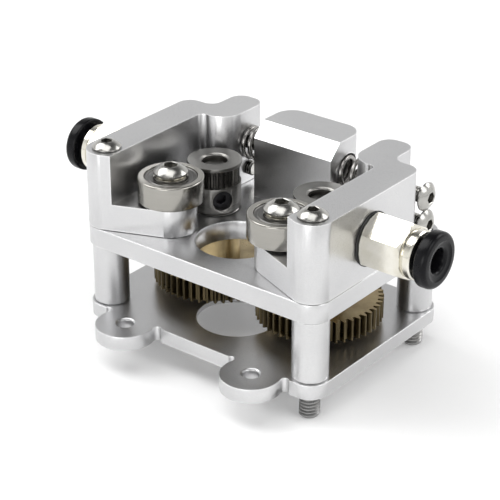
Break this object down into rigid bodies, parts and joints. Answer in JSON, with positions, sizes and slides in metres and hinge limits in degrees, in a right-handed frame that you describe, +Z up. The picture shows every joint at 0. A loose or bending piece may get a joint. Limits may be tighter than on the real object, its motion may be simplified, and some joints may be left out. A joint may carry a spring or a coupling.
{
  "type": "filament extruder gear assembly",
  "caption": "Geared twin-drive filament extruder: two plates on posts, brass gear train, toothed drive gears, sprung idler levers and push-fit tube fittings.",
  "frame": {"origin": "on the motor axis, at the underside of the base plate", "axes": "+Z up from the motor face along the spindles, +X along the filament line, +Y towards the spring block"},
  "size_m": [0.0866, 0.0508, 0.0427],
  "materials": {
    "aluminium": "bead-blasted and clear anodised",
    "post_aluminium": "turned, clear anodised",
    "brass": "hobbed, machined",
    "nickel": "bright nickel plate",
    "bearing_steel": "ground",
    "screw_steel": "stainless",
    "gear_steel": "hardened, machined",
    "black_steel": "black oxide",
    "spring_steel": "drawn wire",
    "black_plastic": "moulded",
    "rubber": "moulded"
  },
  "bodies": {
    "base": {"base_plate": "aluminium", "deck_plate": "aluminium", "corner_posts": "post_aluminium", "rear_deck_screws": "screw_steel", "pivot_screws": "screw_steel", "spring_block": "aluminium", "block_screws": "screw_steel", "spindle_bearing_outer_races": "bearing_steel", "spindle_bearing_balls": "bearing_steel", "left_spring": "spring_steel", "right_spring": "spring_steel"},
    "left_spindle": {"left_shaft": "screw_steel", "left_spur_gear": "brass", "left_spur_grub_screw": "black_steel", "left_drive_gear": "gear_steel", "left_drive_grub_screw": "black_steel", "left_spindle_inner_races": "bearing_steel"},
    "right_spindle": {"right_shaft": "screw_steel", "right_spur_gear": "brass", "right_spur_grub_screw": "black_steel", "right_drive_gear": "gear_steel", "right_drive_grub_screw": "black_steel", "right_spindle_inner_races": "bearing_steel"},
    "left_arm": {"left_lever": "aluminium", "left_idler_screw": "screw_steel", "left_idler_washer": "nickel", "left_idler_inner_race": "bearing_steel", "left_idler_balls": "bearing_steel", "left_tension_screw": "screw_steel", "left_stop_screw": "screw_steel", "left_fitting_body": "nickel", "left_fitting_washer": "rubber", "left_tube_seal": "rubber", "left_grip_ring": "screw_steel"},
    "left_idler": {"left_idler_outer_race": "bearing_steel", "left_idler_shields": "bearing_steel"},
    "left_collet": {"left_release_collet": "black_plastic"},
    "right_arm": {"right_lever": "aluminium", "right_idler_screw": "screw_steel", "right_idler_washer": "nickel", "right_idler_inner_race": "bearing_steel", "right_idler_balls": "bearing_steel", "right_tension_screw": "screw_steel", "right_stop_screw": "screw_steel", "right_fitting_body": "nickel", "right_fitting_washer": "rubber", "right_tube_seal": "rubber", "right_grip_ring": "screw_steel"},
    "right_idler": {"right_idler_outer_race": "bearing_steel", "right_idler_shields": "bearing_steel"},
    "right_collet": {"right_release_collet": "black_plastic"}
  },
  "joints": [
    {"name": "left_spindle_spin", "type": "hinge", "parent": "base", "child": "left_spindle", "pos_m": [-0.013, 0.00933, 0.02], "axis": [0, 0, 1], "continuous": true},
    {"name": "right_spindle_spin", "type": "hinge", "parent": "base", "child": "right_spindle", "pos_m": [0.013, 0.00933, 0.02], "axis": [0, 0, 1], "continuous": true},
    {"name": "left_arm_swing", "type": "hinge", "parent": "base", "child": "left_arm", "pos_m": [-0.0245, -0.0092, 0.0275], "axis": [0, 0, 1], "range_deg": [-6, 4], "deforming": ["left_spring"]},
    {"name": "left_idler_spin", "type": "hinge", "parent": "left_arm", "child": "left_idler", "pos_m": [-0.0133, -0.0036, 0.0284], "axis": [0, 0, 1], "continuous": true},
    {"name": "left_collet_push", "type": "slide", "parent": "left_arm", "child": "left_collet", "axis": [1, 0, 0], "range_m": [0, 0.001]},
    {"name": "right_arm_swing", "type": "hinge", "parent": "base", "child": "right_arm", "pos_m": [0.0245, -0.0092, 0.0275], "axis": [0, 0, 1], "range_deg": [-4, 6], "deforming": ["right_spring"]},
    {"name": "right_idler_spin", "type": "hinge", "parent": "right_arm", "child": "right_idler", "pos_m": [0.0133, -0.0036, 0.0284], "axis": [0, 0, 1], "continuous": true},
    {"name": "right_collet_push", "type": "slide", "parent": "right_arm", "child": "right_collet", "axis": [-1, 0, 0], "range_m": [0, 0.001]}
  ]
}
